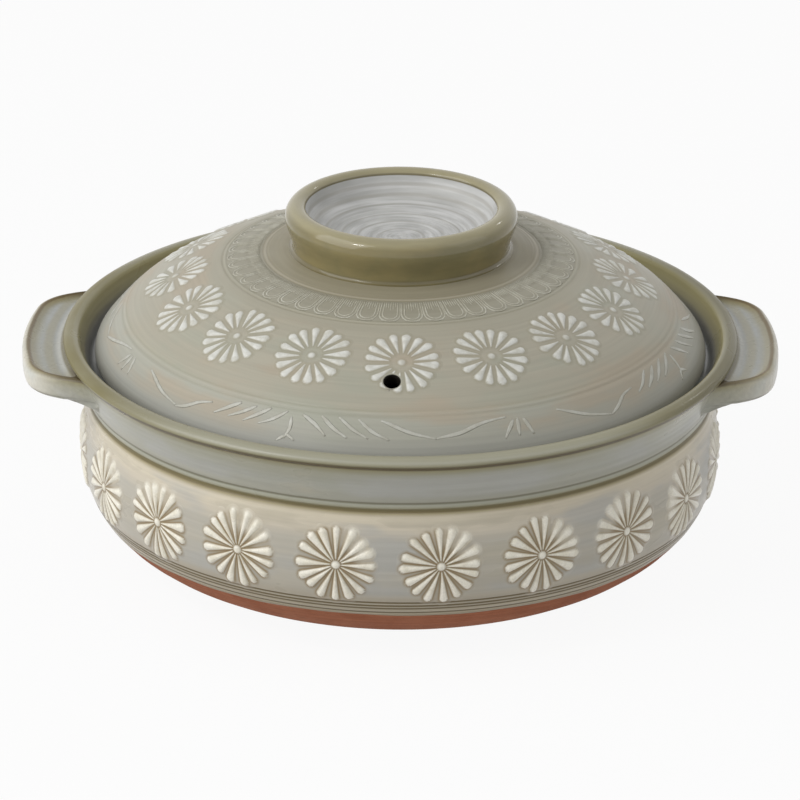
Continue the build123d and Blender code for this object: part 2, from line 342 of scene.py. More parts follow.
def build_pot_body():
    """The bowl with throwing rings, fine lines near the glaze edge, a groove at the shoulder and a rolled lip."""
    wall = resample(WALL, 0.01)
    height, run = wall[:, 1], run_along(wall)
    offset = (0.05 * np.sin(run * 0.9) + 0.035 * np.sin(run * 2.3 + 1) - 0.085) * smooth(4, 30, run)
    offset -= GLAZE_THICKNESS * smooth(1, 6, height) * smooth(GLAZE_EDGE_HEIGHT + 0.4, GLAZE_EDGE_HEIGHT - 0.3, height)
    for line_height in FINE_LINE_HEIGHTS:
        offset -= FINE_LINE_DEPTH * bump(line_height, FINE_LINE_HALF_WIDTH, height)
    offset -= 0.3 * bump(BAND_LINE_HEIGHT, 1.2, height)
    wall = wall + normals_of(wall) * offset[:, None]
    levels = np.concatenate([
        np.arange(0.8, 23, 1.3), np.arange(23, 33, 0.4), np.arange(33, 63, 1.5),
        np.arange(63, SHOULDER_HEIGHT, 0.6), [SHOULDER_HEIGHT],
    ])
    flat = wall[np.searchsorted(run, np.arange(0, run[np.searchsorted(height, levels[0])], 3.0))]
    rows = wall[np.searchsorted(height, levels).clip(0, len(wall) - 1)]
    crease = [(SHOULDER_RADIUS - SHOULDER_GROOVE, SHOULDER_HEIGHT + SHOULDER_GROOVE)]
    collar = resample(COLLAR, 0.7)
    offset = 0.06 * np.sin(collar[:, 1] * 1.9) - 0.06 - 0.25 * bump(COLLAR_LINE_HEIGHT, 0.8, collar[:, 1])
    collar = collar + normals_of(collar) * offset[:, None]
    foot_inner = FOOT_RADIUS - FOOT_RING_WIDTH
    foot = [
        (0, FOOT_RECESS), (20, FOOT_RECESS), (40, FOOT_RECESS), (foot_inner - 0.4, FOOT_RECESS),
        (foot_inner, FOOT_RECESS - 0.3), (foot_inner + 0.3, 0.3), (foot_inner + 0.8, 0.0), (FOOT_RADIUS - 3, 0.0),
    ]
    outer = np.concatenate([foot, flat, rows, crease, collar, resample(LIP, 0.55)[1:]])

    inner_radius = BELLY_RADIUS - BOWL_WALL
    inner_wall = bezier((
        (inner_radius, BELLY_HEIGHT), (inner_radius, BELLY_TURN_HEIGHT + FLOOR_THICKNESS),
        (FLOOR_RADIUS + FOOT_PULL, FLOOR_THICKNESS), (FLOOR_RADIUS, FLOOR_THICKNESS),
    ), 200)
    inner_arc = tangent_arc((inner_radius, BELLY_HEIGHT), (LEDGE_INNER[0], LEDGE_INNER[1] - 1.5), (0, 1), 30)
    ledge = [
        (129.5, LEDGE_OUTER[1]), (126.5, LEDGE_OUTER[1]),
        (LEDGE_INNER[0] + 1.5, LEDGE_INNER[1]), (LEDGE_INNER[0] + 0.44, LEDGE_INNER[1] - 0.44),
    ]
    floor_line = np.stack([np.linspace(FLOOR_RADIUS, 0, 14)[1:], np.full(13, FLOOR_THICKNESS)], axis=1)
    profile = np.concatenate([
        outer, resample([LIP_INNER, (131.9, 87.4), (131.3, 86.4), LEDGE_OUTER], 1.4)[1:], ledge,
        resample(inner_arc, 3.0)[::-1], resample(inner_wall, 3.4)[1:], floor_line,
    ])
    lip_crest = len(outer) - 1 - int(np.argmax(outer[::-1, 1]))
    inward = np.zeros(len(profile))
    inward[lip_crest:] = smooth(0, 4, LIP_CREST[0] - profile[lip_crest:, 0])
    inward[len(outer):] = 1
    bare = (np.arange(len(profile)) < len(outer)) & (profile[:, 1] <= GLAZE_EDGE_HEIGHT)
    points, faces, masks = capped_revolution(profile, COLUMNS, {"inward": inward, "bare": bare})

    # the glaze edge waves a little round the pot
    turn = np.arctan2(points[:, 1], points[:, 0])
    wave = 0.16 * np.sin(3 * turn + 0.4) + 0.11 * np.sin(11 * turn + 2) + 0.07 * np.sin(29 * turn) - 0.1
    points[:, 2] += wave * bump(GLAZE_EDGE_HEIGHT, 2.6, points[:, 2]) * (masks["inward"] == 0)
    return make_object("pot_wall", points, faces, masks)


def petal_depth_of(rho, phi, petals, root_half):
    """Depth inside the nearest petal in millimetres, negative outside them all.

    Each petal is a drop: its half width grows from its root to near its tip, where it is round.
    """
    best = np.full(rho.shape, -100.0)
    for angle, tip, root, half in petals:
        turn = (phi - angle + math.pi) % TURN - math.pi
        along = rho * np.cos(turn)
        share = np.clip((along - root) / (tip - root), 0, 1)
        width = root_half + (half - root_half) * share**1.15
        best = np.maximum(best, width - np.hypot(along - root - share * (tip - root), rho * np.sin(turn)))
    return best


def make_petals(radius, start_share, width, uneven):
    """Choose angle, tip, root and half width of the petals of one hand-pressed rosette, a little uneven."""
    petals = []
    turn = rng.uniform(0, TURN / PETALS)
    for k in range(PETALS):
        reach = radius * (1 + uneven * rng.uniform(-1, 0.4))
        half = width * (1 + 2.2 * uneven * rng.uniform(-1, 1))
        angle = turn + TURN * k / PETALS + uneven * rng.uniform(-0.9, 0.9)
        petals.append((angle, reach - half, start_share * radius * (1 + uneven * rng.uniform(-1, 1)), half))
    return petals


def rosette_patch(place, radius, petals, root_half, bead_radius, relief, rings, bored=None, smear=None):
    """Make the closed mesh of one rosette; place maps flat (u, v, lift) to points on the pot or the lid.

    Where bored gives a point on a hole's axis and the axis, the rosette leaves the hole open. Where smear gives
    a direction, slip was dragged that way across the gaps.
    """
    spokes, total = ROSETTE_SPOKES, rings * ROSETTE_SPOKES
    rho, phi = np.meshgrid(
        radius * np.linspace(0, 1, rings + 1)[1:] ** 0.9, np.arange(spokes) * TURN / spokes, indexing="ij"
    )
    petal_depth = petal_depth_of(rho, phi, petals, root_half)
    bead_depth = bead_radius - rho
    height = relief * np.sqrt(np.clip(petal_depth / 1.6, 0, 1)) * smooth(-0.1, 0.6, petal_depth)
    bead = 0.9 * relief * np.sqrt(np.clip(bead_depth / bead_radius, 0, 1)) * smooth(-0.1, 0.4, bead_depth)
    near = np.maximum(petal_depth, bead_depth)
    sunk = 0.2 * smooth(-0.8, -2.2, near) + 0.5 * smooth(-2.0, -3.2, near)
    lift = np.maximum(height, bead) + 0.03 - sunk
    slip = smooth(-0.05, 0.5, near)
    # glaze pooled in the sunk gaps beside the petals, darkened with painted shade
    pool = 0.45 * smooth(-2.3, -0.3, near) + 0.55 * smooth(-1.0, -0.1, near)
    pool *= 1 - smooth(0.0, 0.45, near)
    if smear is not None:
        side = bump(0, 1.25, (phi - smear + math.pi) % TURN - math.pi)
        slip = np.maximum(slip, 0.7 * side * smooth(-1.3, -0.2, near) * smooth(0.3, 0.6, rho / radius))
        # the glaze pools in the gaps with painted shade, and round the tips this painted shadow stays on the far side
        # from the smear only
        round_tips = smooth(0.86, 1.0, rho / max(tip + half for _, tip, _, half in petals))
        pool *= 1 - round_tips * (0.6 + 0.35 * np.cos(phi - smear))
    u, v = rho * np.cos(phi), rho * np.sin(phi)
    spot, deep = np.zeros(1), np.full(1, -1.0)
    centre, closing = place(spot, spot, deep * -(relief * 0.9 + 0.03)), place(spot, spot, deep)
    faces = grid_faces(rings, spokes)
    faces += [[(j + 1) % spokes, j, total] for j in range(spokes)]
    masks = {"slip": np.append(slip.ravel(), 1.0), "pool": np.append(pool.ravel(), 0.0)}
    if bored is None:
        # a fan to a point under the surface closes the patch
        last = total - spokes
        points = np.concatenate([place(u, v, lift).reshape(-1, 3), centre, closing])
        faces += [[last + j, last + (j + 1) % spokes, total + 1] for j in range(spokes)]
        masks = {key: np.append(values, 0.0) for key, values in masks.items()}
        masks["hidden"] = np.arange(total + 2) == total + 1
        return points, faces, masks

    # a second skin below, with walls round the rim and the hole, whose edge is drawn onto a circle
    origin, axis = bored
    edge = STEAM_RADIUS + 0.45
    arm = place(u, v, np.zeros_like(u)) - origin
    gap = np.linalg.norm(arm - (arm @ axis)[..., None] * axis, axis=-1)
    lift = -0.15 + (lift + 0.15) * smooth(edge, edge + 0.8, gap)
    skins = []
    for skin_lift in (lift, np.full_like(lift, -1.0)):
        arm = place(u, v, skin_lift).reshape(-1, 3) - origin
        along = (arm @ axis)[:, None] * axis
        outward = arm - along
        reach = np.linalg.norm(outward, axis=1)[:, None]
        skins.append(origin + along + outward * np.maximum(1, edge / reach))
    points = np.concatenate([skins[0], centre, skins[1], closing])
    open_enough = np.append(gap.ravel() > STEAM_RADIUS - 0.1, True)
    faces = [face for face in faces if open_enough[face].all()]
    skin = total + 1
    walls = [[b, a, a + skin, b + skin] for a, b in open_edges(faces)]
    faces += [[corner + skin for corner in face[::-1]] for face in faces] + walls
    masks = {key: np.concatenate([values, values]) for key, values in masks.items()}
    masks["hidden"] = np.arange(len(points)) >= skin
    return points, faces, masks


def join_patches(name, patches):
    """Join patches of points, faces and masks into one object."""
    points, faces, first = [], [], 0
    for patch_points, patch_faces, _ in patches:
        points.append(patch_points)
        faces.extend([first + k for k in face] for face in patch_faces)
        first += len(patch_points)
    masks = {key: np.concatenate([patch[2][key] for patch in patches]) for key in patches[0][2]}
    return make_object(name, np.concatenate(points), faces, masks)


def wall_place(angle):
    """Map flat places about a rosette on the belly to points outside the wall."""
    def place(u, v, lift):
        height = POT_ROSETTE_HEIGHT + v
        slope = wall_radius(height + 0.5) - wall_radius(height - 0.5)
        along = 1 / np.sqrt(1 + slope**2)
        return polar(wall_radius(height) + lift * along, angle + u / BELLY_RADIUS, height - lift * slope * along)
    return place


def dome_place(angle, ring_radius):
    """Map flat places about a rosette on the lid to points outside the dome; v points to the skirt."""
    run = run_along(DOME)
    start = np.interp(ring_radius, DOME[:, 0], run)

    def place(u, v, lift):
        radius, height, out, up = (
            np.interp(start + v, run, values) for values in np.hstack([DOME, -normals_of(DOME)]).T
        )
        return polar(radius + lift * out, angle + u / radius, height + lift * up)
    return place


def build_pot_rosettes():
    """Twenty raised rosettes of cream slip round the belly."""
    patches = []
    for k in range(POT_ROSETTES):
        petals = make_petals(POT_ROSETTE_RADIUS, POT_PETAL_START, POT_PETAL_WIDTH, POT_UNEVEN)
        smear = math.pi / 2 + rng.uniform(-1.2, 1.2)
        patches.append(rosette_patch(
            wall_place(POT_ROSETTE_START + TURN * k / POT_ROSETTES), POT_ROSETTE_RADIUS + POT_ROSETTE_MARGIN,
            petals, ROOT_SHARE * POT_PETAL_WIDTH, POT_BEAD_RADIUS, POT_RELIEF, POT_ROSETTE_RINGS, smear=smear,
        ))
    return join_patches("pot_rosette_band", patches)


def build_lid_rosettes():
    """Sixteen raised rosettes of white slip round the dome, the front one pierced by the steam hole."""
    origin, _, _, axis = steam_frame()
    patches = []
    for k in range(LID_ROSETTES):
        angle = LID_ROSETTE_START + TURN * k / LID_ROSETTES
        petals = make_petals(LID_ROSETTE_RADIUS, LID_PETAL_START, LID_PETAL_WIDTH, LID_UNEVEN)
        at_hole = abs(angle - STEAM_ANGLE) * LID_ROSETTE_RING < LID_ROSETTE_RADIUS
        patches.append(rosette_patch(
            dome_place(angle, LID_ROSETTE_RING), LID_ROSETTE_RADIUS + LID_ROSETTE_MARGIN, petals,
            ROOT_SHARE * LID_PETAL_WIDTH, LID_BEAD_RADIUS, LID_RELIEF, LID_ROSETTE_RINGS,
            (origin, axis) if at_hole else None,
        ))
    return join_patches("lid_rosette_ring", patches)


# The handles

def handle_outline():
    """Plan of the lug on +X from its front flare to its back flare, evenly spaced."""
    corner = np.array([math.sqrt(HANDLE_REACH**2 - HANDLE_HALF_WIDTH**2), HANDLE_HALF_WIDTH])
    flare = np.array([math.sqrt(LIP_BOTTOM[0] ** 2 - HANDLE_FLARE_HALF_WIDTH**2), HANDLE_FLARE_HALF_WIDTH])
    side = unit(corner - HANDLE_ROOT)
    # the rounded corner touches the outer arc and the side line
    turn_end = math.asin(HANDLE_HALF_WIDTH / HANDLE_REACH)
    half_turn = 0.5 * math.acos(float(-side @ np.array([-math.sin(turn_end), math.cos(turn_end)])))
    reach = HANDLE_CORNER * math.tan(half_turn)
    arc = polar(HANDLE_REACH, np.linspace(0, turn_end - reach / HANDLE_REACH, 60))
    t = np.linspace(0, 1, 30)[:, None]
    corner_round = (1 - t) ** 2 * arc[-1] + 2 * (1 - t) * t * corner + t**2 * (corner - side * reach)
    root_flare = spline((HANDLE_ROOT, flare), -side, (-flare[1], flare[0]), 40)
    upper = np.concatenate([arc, corner_round[1:], [HANDLE_ROOT], root_flare[1:]])
    return resample(np.concatenate([upper[1:][::-1] * (1, -1), upper]), 0.7)


def build_handle(name, turned):
    """A lug with a raised rounded edge, a shallow dish on top and a hollowed haunch below."""
    outline = handle_outline()
    count = len(outline)
    direction = unit(np.gradient(outline, axis=0))
    inward = np.stack([-direction[:, 1], direction[:, 0]], axis=1)
    share = np.linspace(-1, 1, count)
    wall_turn = math.atan2(outline[-1, 1], outline[-1, 0]) * np.sign(share) * np.abs(share) ** 1.05
    off_centre = np.abs(outline[:, 1])
    flare_blend = smooth(HANDLE_FLARE_HALF_WIDTH, HANDLE_ROOT[1] - 2, off_centre)
    haunch_blend = smooth(HANDLE_FLARE_HALF_WIDTH, HANDLE_FLARE_HALF_WIDTH - 4, off_centre)
    bottom = HANDLE_TOP - HANDLE_THICKNESS
    haunch_radius = ((HAUNCH_OUTER - HAUNCH_INNER) ** 2 + HAUNCH_DROP**2) / (2 * HAUNCH_DROP)

    def path(start_in, end_radius, steps):
        """Places from just inside the edge to the wall."""
        return [(outline + inward * start_in) * (1 - s) + polar(end_radius, wall_turn) * s for s in steps]

    rows = []
    for places in path(HANDLE_BOTTOM_ROUND, HANDLE_ENDS[0], np.linspace(1, 0, 22)[:-1]):
        dip = np.clip(HAUNCH_OUTER - np.linalg.norm(places, axis=1), 0, HAUNCH_OUTER - HAUNCH_INNER)
        drop = haunch_radius - np.sqrt(haunch_radius**2 - dip**2)
        rows.append(np.column_stack([places, bottom - drop * haunch_blend]))
    for rounding, low, angles in (
        (HANDLE_BOTTOM_ROUND, bottom + HANDLE_BOTTOM_ROUND, np.linspace(-math.pi / 2, 0, 9)),
        (HANDLE_TOP_ROUND, HANDLE_TOP - HANDLE_TOP_ROUND, np.linspace(0, math.pi / 2, 7)),
    ):
        for angle in angles:
            height = np.full(count, low + rounding * math.sin(angle))
            rows.append(np.column_stack([outline + inward * rounding * (1 - math.cos(angle)), height]))
    top_edge = len(rows)
    for places in path(HANDLE_TOP_ROUND, HANDLE_ENDS[1], np.linspace(0, 1, 26)[1:]):
        gap_to_edge = np.min(np.linalg.norm(places[:, None, :] - outline[None, :, :], axis=2), axis=1)
        dish = smooth(1.7, 6.5, gap_to_edge) * smooth(*HANDLE_DISH_RADII, np.linalg.norm(places, axis=1))
        rows.append(np.column_stack([places, HANDLE_TOP - HANDLE_DISH * dish]))
    points = np.stack(rows)
    section = np.linalg.norm(np.diff(points, axis=0), axis=2)
    walked = np.concatenate([np.zeros((1, count)), np.cumsum(section, axis=0)])
    edge_run = walked - walked[top_edge - 1]

    # near the flares, the lug sinks into the collar at every height
    wall = wall_radius(np.minimum(points[..., 2], LIP_BOTTOM[1]))
    beyond = np.linalg.norm(outline, axis=1) - LIP_BOTTOM[0]
    limit = wall + beyond + (LIP_BOTTOM[0] - wall) * flare_blend - HANDLE_FLARE_SINK * (1 - flare_blend)
    points[..., :2] *= np.minimum(1, limit / np.linalg.norm(points[..., :2], axis=2))[..., None]
    if turned:
        points[..., :2] *= -1
    last = (len(rows) - 1) * count
    faces = grid_faces(len(rows), count, closed=False)
    faces += [[last + j, last + j + 1, j + 1, j] for j in range(count - 1)]
    faces.append([k * count for k in range(len(rows))])
    faces.append([k * count + count - 1 for k in range(len(rows))][::-1])
    merging = smooth(HANDLE_ROOT[1] - 9, HANDLE_FLARE_HALF_WIDTH - 2, off_centre)
    masks = {"edge_run": edge_run.ravel(), "merging": np.broadcast_to(merging, edge_run.shape).ravel()}
    return make_object(name, points.reshape(-1, 3), [face[::-1] for face in faces], masks)


# The lid

def dome_profile():
    """The outside of the dome with throwing rings and the incised double lines of its bands."""
    line = resample(DOME, 0.01)
    radius, run = line[:, 0], run_along(line)
    offset = 0.03 * np.sin(run * 1.7) + 0.02 * np.sin(run * 3.1 + 2) - 0.05
    step = np.full(len(line), 1.5)
    for ring in LID_RINGS:
        offset -= 0.16 * bump(ring, 0.65, radius)
        step[np.abs(radius - ring) < 1.3] = 0.35
    line = line - normals_of(line) * offset[:, None]
    chosen = [0]
    for k in range(1, len(line)):
        if run[k] - run[chosen[-1]] >= step[k] or k == len(line) - 1:
            chosen.append(k)
    return line[chosen]


def steam_frame():
    """Origin and three directions of the steam hole: two across it and one along it."""
    radial = polar(1.0, STEAM_ANGLE, 0.0)
    slope = dome_height(STEAM_RING_RADIUS - 1) - dome_height(STEAM_RING_RADIUS + 1)
    axis = unit(radial * slope + (0, 0, 2.0))
    side = np.array([-radial[1], radial[0], 0])
    return polar(STEAM_RING_RADIUS, STEAM_ANGLE, dome_height(STEAM_RING_RADIUS)), side, np.cross(axis, side), axis


def zip_loops(outer, outer_angles, inner, inner_angles):
    """Join two closed loops of points, each sorted by angle, with triangles."""
    faces = []
    i = j = 0
    while i < len(outer) or j < len(inner):
        next_outer, next_inner = (
            angles[k + 1] if k + 1 < len(angles) else angles[0] + TURN
            for k, angles in ((i, outer_angles), (j, inner_angles))
        )
        a, b = outer[i % len(outer)], inner[j % len(inner)]
        if j >= len(inner) or (i < len(outer) and next_outer <= next_inner):
            i += 1
            faces.append([a, outer[i % len(outer)], b])
        else:
            j += 1
            faces.append([a, inner[j % len(inner)], b])
    return faces


def build_lid_dome():
    """The dome, one wall thick, with its foot and a steam hole bored through it."""
    inner_line = resample(DOME, 1.0)
    inner_line = inner_line + normals_of(inner_line) * LID_WALL
    inner_line = inner_line[inner_line[:, 1] > LID_SKIRT[1] + 3.4]
    foot_inner = LID_FOOT[0] - LID_FOOT_WIDTH
    foot = [(LID_FOOT[0] - 1.2, LID_FOOT[1]), (foot_inner + 1.2, LID_FOOT[1]),
            (foot_inner + 0.3, LID_FOOT[1] + 0.3), (foot_inner, LID_FOOT[1] + 1.2)]
    inside = resample(np.concatenate([foot[-1:], inner_line[::-1]]), 2.0)
    crown = np.stack([np.linspace(KNOB_SEAT_RADIUS, 0, 14), np.full(14, LID_CROWN_HEIGHT - LID_WALL)], axis=1)
    crown = crown[crown[:, 0] < inside[-1, 0] - 1]
    seat = [(radius, LID_CROWN_HEIGHT) for radius in (0, 20, 36)]
    outer = np.concatenate([seat, dome_profile(), tangent_arc(LID_SKIRT, LID_FOOT, (0, -1), 12)[1:]])
    profile = np.concatenate([outer, foot[:-1], inside, crown])[::-1]
    inward = np.arange(len(profile))[::-1] >= len(outer)
    bare = profile[:, 1] <= LID_FOOT[1] + 0.05
    points, faces, masks = capped_revolution(profile, COLUMNS, {"inward": inward, "bare": bare})

    # bore the steam hole: drop the faces near it and join their edges to round rings
    origin, side, upward, axis = steam_frame()
    arm = points - origin
    along = arm @ axis
    gap = np.linalg.norm(arm - along[:, None] * axis, axis=1)
    near = (gap < STEAM_RADIUS + 0.75) & (np.abs(along) < LID_WALL + 4) & (points[:, 1] < 0)
    kept, dropped = [], []
    for face in faces:
        (dropped if near[face].any() else kept).append(face)
    angle_of = np.arctan2(arm @ upward, arm @ side)
    rim = sorted({point for edge in open_edges(dropped) for point in edge}, key=lambda point: angle_of[point])
    outer_loop = [point for point in rim if along[point] > -LID_WALL / 2]
    inner_loop = [point for point in rim if along[point] <= -LID_WALL / 2]
    angles = -math.pi + (np.arange(STEAM_SPOKES) + 0.5) * TURN / STEAM_SPOKES
    circle = np.cos(angles)[:, None] * side + np.sin(angles)[:, None] * upward

    def bore_ring(radius, depth, inner):
        """A ring of points at a depth inside the outer or the inner skin of the dome, along the hole."""
        flat = origin + circle * radius
        reach = np.full(STEAM_SPOKES, -LID_WALL if inner else 0.0)
        for _ in range(12):
            place = flat + reach[:, None] * axis
            far = np.hypot(place[:, 0], place[:, 1])
            target = np.interp(far, inner_line[:, 0], inner_line[:, 1]) if inner else dome_height(far)
            reach += (target - place[:, 2]) * axis[2]
        return flat + (reach + depth * (1 if inner else -1))[:, None] * axis

    rings = [bore_ring(*ring, False) for ring in OUTER_BORE] + [bore_ring(*ring, True) for ring in INNER_BORE]
    first = len(points)
    loops = [list(range(first + k * STEAM_SPOKES, first + (k + 1) * STEAM_SPOKES)) for k in range(len(rings))]
    points = np.concatenate([points, *rings])
    masks = {key: np.append(values, np.zeros(len(points) - first)) for key, values in masks.items()}
    # the walls deep in the steam hole get painted shade
    masks["bore"] = np.zeros(len(points))
    masks["bore"][loops[2][0]:loops[-1][0]] = 1
    faces = kept + [face[::-1] for face in zip_loops(outer_loop, angle_of[outer_loop], loops[0], angles)]
    faces += [[first + corner for corner in face[::-1]] for face in grid_faces(len(rings), STEAM_SPOKES)]
    faces += zip_loops(inner_loop, angle_of[inner_loop], loops[-1], angles)
    return make_object("lid_shell", points, faces, masks)


# Brushed and incised lines on the lid, filled with slip

def stroke(places, width, thickness, spacing=0.9, end_share=0.35):
    """A raised, tapered line of slip through places on the lid, each its degrees from the front and its radius."""
    places = np.array(places, float)
    flat = polar(places[:, 1], np.radians(places[:, 0] - 90))
    if len(flat) > 2:
        flat = spline(flat, flat[1] - flat[0], flat[-1] - flat[-2], 60)
    flat = resample(flat, spacing)
    count = len(flat)
    angle, radius = np.arctan2(flat[:, 1], flat[:, 0]), np.hypot(flat[:, 0], flat[:, 1])
    middle = polar(radius, angle, dome_height(radius))
    out = unit(polar(dome_height(radius - 0.5) - dome_height(radius + 0.5), angle, 1.0))
    side = np.cross(out, unit(np.gradient(middle, axis=0)))
    share = np.linspace(0, 1, count)
    taper = end_share + (1 - end_share) * smooth(0, 0.25, share) * smooth(1, 0.45, share)
    half = 0.5 * width * taper[:, None]
    lift = thickness * (0.4 + 0.6 * taper[:, None])
    rows = [
        middle + side * half * across + out * lift * up
        for across, up in ((-1, -0.5), (-0.62, 0.72), (0, 1), (0.62, 0.72), (1, -0.5), (0, -0.9))
    ]
    corners = len(rows)
    faces = grid_faces(count, corners)
    faces += [list(range(corners))[::-1], list(range((count - 1) * corners, count * corners))]
    points = np.stack(rows, axis=1).reshape(-1, 3)
    return points, faces, {"hidden": np.arange(len(points)) % corners == corners - 1}


def build_grass_strokes():
    """Sprays of grass, hill lines and tufts drawn round the lower lid, four times round."""
    patches = []

    def draw(width, *places):
        wobble = rng.uniform(-0.35, 0.35, (len(places), 2)) * (0.5, 0.6)
        places = np.array(places) + (stem, 0) + wobble
        patches.append(stroke(places, width * rng.uniform(1.2, 1.6), 0.035, end_share=0.45))

    for k in range(GRASS_REPEATS):
        stem = GRASS_STEM + 360 / GRASS_REPEATS * k
        for n in range(4):
            draw(1.25, (-0.9 - 3.4 * n, 118.3), (-3.6 - 3.4 * n, 121.2), (-6.3 - 3.3 * n, 123.2))
            draw(1.25, (2.4 + 3.6 * n, 118.3), (5.2 + 3.6 * n, 121.3), (7.4 + 4.0 * n, 123.9))
        draw(1.25, (0.2, 119.7), (0.2, 122.9), (-0.3, 125.8))
        draw(1.0, (-0.2, 125.0), (-1.6, 127.0))
        draw(1.0, (0.0, 124.6), (1.9, 126.0))
        for rise, foot, fall, reach in ((19.3, 123.8, 28.2, 12.8), (54.5, 125.3, 64.6, 7.3)):
            draw(1.15, (rise - 1.5, foot - 5.4), (0.5 * (rise + fall), foot - 1.8), (fall, foot))
            draw(1.15, (fall, foot), (fall + 0.35 * reach, foot - 1.4),
                 (fall + 0.65 * reach, foot - 3.2), (fall + 1.1 * reach, foot - 4.6))
        for lean in (-1.7, -0.4, 1.1):
            draw(1.25, (44.9 + 0.8 * lean, 120.2), (44.8 + 2.0 * lean, 125.0))
    return join_patches("lid_grass_strokes", patches)


def build_lappet_band():
    """A band of double-lined scallops with short hatching between the two rings below the knob."""
    patches = []
    pitch = 360 / LAPPETS
    degrees_per_mm = math.degrees(2 / (LAPPET_TOP + LAPPET_BOTTOM))
    for k in range(LAPPETS):
        centre = (k + 0.5) * pitch + rng.uniform(-0.25, 0.25)
        for half_share, bottom in ((0.46, LAPPET_BOTTOM), (0.33, LAPPET_BOTTOM - 1.5)):
            half = half_share * pitch
            depth = half / degrees_per_mm * 1.15
            side_end = bottom - depth
            sides = [(half, LAPPET_TOP), (half, 0.5 * (LAPPET_TOP + side_end))]
            places = [(centre - out, radius) for out, radius in sides]
            for t in np.linspace(math.pi, 0, 9):
                places.append((centre + half * math.cos(t), side_end + depth * math.sin(t)))
            places += [(centre + out, radius) for out, radius in sides[::-1]]
            patches.append(stroke(places, 0.6, 0.08, spacing=1.15, end_share=0.6))
        for n in range(-2, 3):
            turn = centre + 0.115 * pitch * n
            length = rng.uniform(4.6, 6.4) - 0.7 * abs(n)
            patches.append(stroke(((turn, LAPPET_TOP - 0.2), (turn, LAPPET_TOP + length)), 0.5, 0.07, spacing=1.6))
        edge = centre + 0.5 * pitch
        for lean in (-1, 1):
            places = ((edge + 0.2 * lean, LAPPET_BOTTOM - 3.4), (edge + 0.26 * pitch * lean, LAPPET_BOTTOM + 0.1))
            patches.append(stroke(places, 0.5, 0.07, spacing=1.3))
    return join_patches("lid_lappet_band", patches)


def build_knob():
    """The ring knob with a flared wall, a rounded lip and wheel rings in its dish."""
    foot_top = (KNOB_FOOT_RADIUS, LID_CROWN_HEIGHT + KNOB_FOOT_ROUND)
    fillet = tangent_arc((KNOB_FOOT_RADIUS + KNOB_FOOT_ROUND, LID_CROWN_HEIGHT - 0.25), foot_top, (-1, 0), 14)
    wall = spline((
        foot_top, (KNOB_RADIUS, LID_CROWN_HEIGHT + 15.8), (KNOB_CREST_RADIUS, KNOB_TOP), KNOB_INNER,
    ), (0.02, 1), (-1, -2), 90)
    dish = resample(bezier((
        KNOB_INNER, (KNOB_INNER[0] - 2.4, KNOB_DISH_HEIGHT), (24.0, KNOB_DISH_HEIGHT), (0, KNOB_DISH_HEIGHT),
    ), 500), 0.4)
    radius = dish[:, 0]
    rings = 0.10 * np.sin(radius * 1.55) + 0.06 * np.sin(radius * 3.4 + 0.6)
    rings += 0.35 * bump(30.8, 1.3, radius) + 0.16 * bump(24.6, 0.9, radius) - 0.15 * bump(17.5, 1.0, radius)
    dish[:, 1] += rings * smooth(0, 4, radius) * smooth(40, 36, radius)
    foot = [(radius, LID_CROWN_HEIGHT - depth) for radius, depth in (
        (0, 0.9), (30, 0.9), (KNOB_FOOT_RADIUS + 0.5, 0.9), (KNOB_FOOT_RADIUS + KNOB_FOOT_ROUND - 0.1, 0.5),
    )]
    profile = np.concatenate([foot, fillet, resample(wall, 0.7)[1:], dish[1:]])
    return make_object("knob_ring", *capped_revolution(profile, KNOB_COLUMNS, {}))


# Materials. A Flow is what a node puts out, and arithmetic on it adds math nodes.

STREAK_RADIUS = 130.0
BUMP_DISTANCE = 0.0002


class Flow:
    """A node's output in a material."""

    def __init__(self, wires, socket):
        self.wires, self.socket = wires, socket

    def __add__(self, other):
        return self.wires.math("ADD", self, other)

    def __sub__(self, other):
        return self.wires.math("SUBTRACT", self, other)

    def __mul__(self, other):
        return self.wires.math("MULTIPLY", self, other)

    def __abs__(self):
        return self.wires.math("ABSOLUTE", self)

    def step(self, low, high, to_low=0.0, to_high=1.0):
        """Map low..high smoothly to to_low..to_high; high may lie below low."""
        if low > high:
            low, high, to_low, to_high = high, low, to_high, to_low
        limits = {"Value": self, "From Min": low, "From Max": high, "To Min": to_low, "To Max": to_high}
        return self.wires.add("ShaderNodeMapRange", limits, "Result", interpolation_type="SMOOTHSTEP")

    def band(self, centre, half_width):
        """A soft band of height 1 about a length."""
        return abs(self - centre).step(half_width, 0.25 * half_width)

    def under(self, *layers):
        """This colour below (share, colour) layers."""
        colour = self
        for share, cover in layers:
            colour = self.wires.mix(share, colour, cover)
        return colour

    def shade(self, noise, *limits):
        """This colour brightened or darkened by a noise."""
        return self.wires.shade(self, noise.step(*limits))


class Nodes:
    """The nodes of a material or of the world."""

    def __init__(self, tree):
        self.tree = tree
        tree.nodes.clear()

    def add(self, kind, inputs, output=0, **settings):
        """Add a node, fill its inputs and give one of its outputs."""
        made = self.tree.nodes.new(kind)
        for key, value in settings.items():
            setattr(made, key, value)
        for key, value in inputs.items():
            socket = made.inputs[key]
            if isinstance(value, Flow):
                self.tree.links.new(value.socket, socket)
            elif isinstance(value, tuple) and len(socket.default_value) == 4:
                socket.default_value = (*value, 1)
            else:
                socket.default_value = value
        return Flow(self, made.outputs[output]) if made.outputs else made

    def math(self, operation, first, second=0.0):
        return self.add("ShaderNodeMath", {0: first, 1: second}, operation=operation)

    def mix(self, share, first, second):
        return self.add("ShaderNodeMix", {0: share, 6: first, 7: second}, 2, data_type="RGBA")

    def shade(self, colour, amount):
        return self.add("ShaderNodeVectorMath", {0: colour, "Scale": amount}, operation="SCALE")


